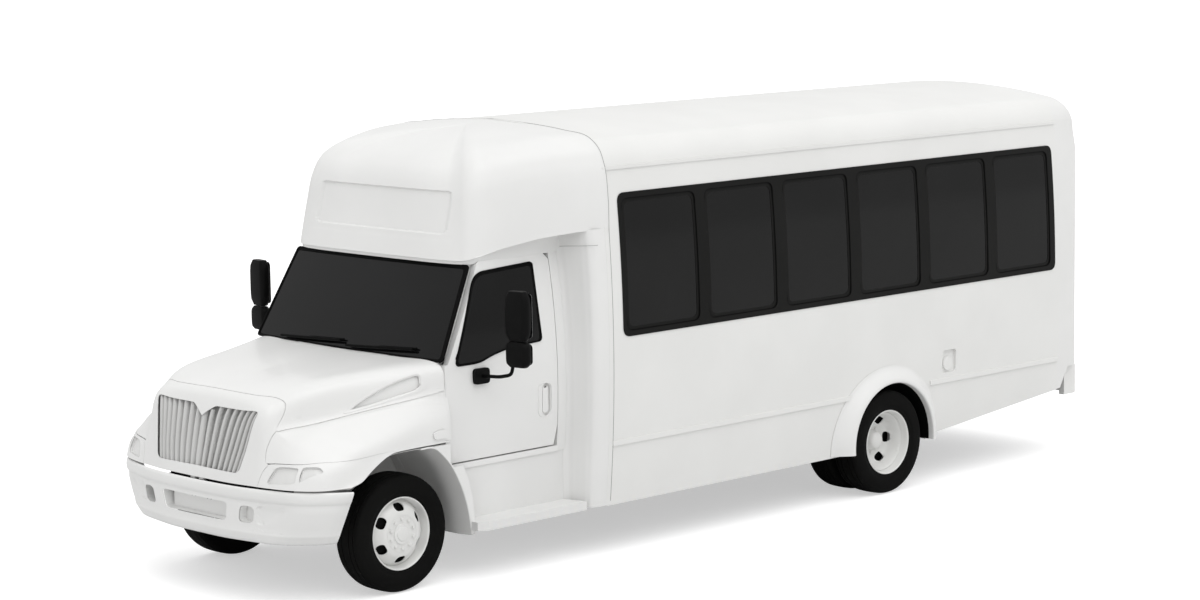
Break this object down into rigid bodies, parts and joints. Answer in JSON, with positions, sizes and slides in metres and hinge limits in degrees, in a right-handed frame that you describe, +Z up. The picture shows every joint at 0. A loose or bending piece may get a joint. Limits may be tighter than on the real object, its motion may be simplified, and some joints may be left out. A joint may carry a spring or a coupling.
{
  "type": "shuttle bus",
  "caption": "Shuttle bus: a boxy white passenger body with a row of dark side windows on a bonneted medium truck chassis and cab.",
  "frame": {"origin": "on the ground, midway along the length and across the width", "axes": "+Z up, -Y the way the bus drives, +X its left side"},
  "size_m": [3.1966, 8.645, 3.1699],
  "materials": {
    "body_white": "gloss white coach paint",
    "cab_white": "gloss white cab paint",
    "moulded_white": "gloss white moulding",
    "window_frame": "satin black",
    "glass": "tinted",
    "grille_grey": "satin grey",
    "chassis": "satin black",
    "engine": "rough cast",
    "mirror_black": "fine grain",
    "lamp": "clear lens over a bright bowl",
    "tail_lens": "red and amber lenses",
    "tyre": "rubber",
    "wheel_white": "gloss white",
    "floor_rubber": "ribbed rubber floor on metal sills",
    "interior": "grained dark grey",
    "seat_fabric": "woven blue grey",
    "step_tread": "dark grained moulding"
  },
  "bodies": {
    "body": {"side_wall_left": "body_white", "side_wall_right": "body_white", "roof": "body_white", "rear_cap": "moulded_white", "front_cap": "moulded_white", "front_fairings": "moulded_white", "window_frame_left": "window_frame", "window_frame_right": "window_frame", "window_glass_left": "glass", "window_glass_right": "glass", "cab_shell": "cab_white", "windscreen": "glass", "front_bumper": "cab_white", "rear_bumper": "body_white", "chassis_frame": "chassis", "leaf_springs": "chassis", "front_axle": "chassis", "rear_axle": "chassis", "engine_block": "engine", "driveshaft": "chassis", "fuel_tank": "chassis", "exhaust": "chassis", "floor": "floor_rubber", "entry_steps": "step_tread", "dashboard": "interior", "steering_wheel": "interior", "driver_seat": "seat_fabric", "passenger_seats": "seat_fabric", "cab_steps": "step_tread", "splash_panels": "chassis", "wheel_flares": "moulded_white", "tail_lamps": "tail_lens"},
    "knuckle_left": {"knuckle_left": "chassis"},
    "knuckle_right": {"knuckle_right": "chassis"},
    "wheel_front_left": {"wheel_front_left": "wheel_white", "tyre_front_left": "tyre"},
    "wheel_front_right": {"wheel_front_right": "wheel_white", "tyre_front_right": "tyre"},
    "wheels_rear_left": {"wheel_rear_left": "wheel_white", "tyre_rear_left": "tyre"},
    "wheels_rear_right": {"wheel_rear_right": "wheel_white", "tyre_rear_right": "tyre"},
    "cab_door_left": {"cab_door_left": "cab_white", "cab_glass_left": "glass", "mirror_left": "mirror_black"},
    "cab_door_right": {"cab_door_right": "cab_white", "cab_glass_right": "glass", "mirror_right": "mirror_black"},
    "bonnet": {"bonnet": "cab_white", "headlamps": "lamp", "grille": "grille_grey"},
    "entry_leaf_front": {"entry_leaf_front": "body_white", "entry_glass_front": "glass"},
    "entry_leaf_rear": {"entry_leaf_rear": "body_white", "entry_glass_rear": "glass"},
    "rear_door": {"rear_door": "moulded_white", "rear_glass": "glass"}
  },
  "joints": [
    {"name": "steer_left", "type": "hinge", "parent": "body", "child": "knuckle_left", "pos_m": [0.78, -3.27, 0.421], "axis": [0, 0, 1], "range_deg": [-35, 35]},
    {"name": "steer_right", "type": "hinge", "parent": "body", "child": "knuckle_right", "pos_m": [-0.78, -3.27, 0.421], "axis": [0, 0, 1], "range_deg": [-35, 35]},
    {"name": "spin_front_left", "type": "hinge", "parent": "knuckle_left", "child": "wheel_front_left", "pos_m": [0.928, -3.27, 0.421], "axis": [1, 0, 0], "continuous": true},
    {"name": "spin_front_right", "type": "hinge", "parent": "knuckle_right", "child": "wheel_front_right", "pos_m": [-0.928, -3.27, 0.421], "axis": [1, 0, 0], "continuous": true},
    {"name": "spin_rear_left", "type": "hinge", "parent": "body", "child": "wheels_rear_left", "pos_m": [1.039, 1.656, 0.421], "axis": [1, 0, 0], "continuous": true},
    {"name": "spin_rear_right", "type": "hinge", "parent": "body", "child": "wheels_rear_right", "pos_m": [-1.039, 1.656, 0.421], "axis": [1, 0, 0], "continuous": true},
    {"name": "cab_door_left_hinge", "type": "hinge", "parent": "body", "child": "cab_door_left", "pos_m": [1.03, -2.82, 1.4], "axis": [0, 0, -1], "range_deg": [0, 70]},
    {"name": "cab_door_right_hinge", "type": "hinge", "parent": "body", "child": "cab_door_right", "pos_m": [-1.03, -2.82, 1.4], "axis": [0, 0, 1], "range_deg": [0, 70]},
    {"name": "bonnet_tilt", "type": "hinge", "parent": "body", "child": "bonnet", "pos_m": [0, -4.254, 0.846], "axis": [1, 0, 0], "range_deg": [0, 60]},
    {"name": "entry_leaf_front_hinge", "type": "hinge", "parent": "body", "child": "entry_leaf_front", "pos_m": [-1.306, -1.387, 1.5], "axis": [0, 0, 1], "range_deg": [0, 85]},
    {"name": "entry_leaf_rear_hinge", "type": "hinge", "parent": "body", "child": "entry_leaf_rear", "pos_m": [-1.306, -0.516, 1.5], "axis": [0, 0, 1], "range_deg": [-85, 0]},
    {"name": "rear_door_hinge", "type": "hinge", "parent": "body", "child": "rear_door", "pos_m": [-0.433, 4.262, 1.7], "axis": [0, 0, 1], "range_deg": [0, 100]}
  ],
  "couplings": [
    {"joint": "steer_right", "follows": "steer_left", "ratio": 1},
    {"joint": "entry_leaf_rear_hinge", "follows": "entry_leaf_front_hinge", "ratio": -1}
  ]
}
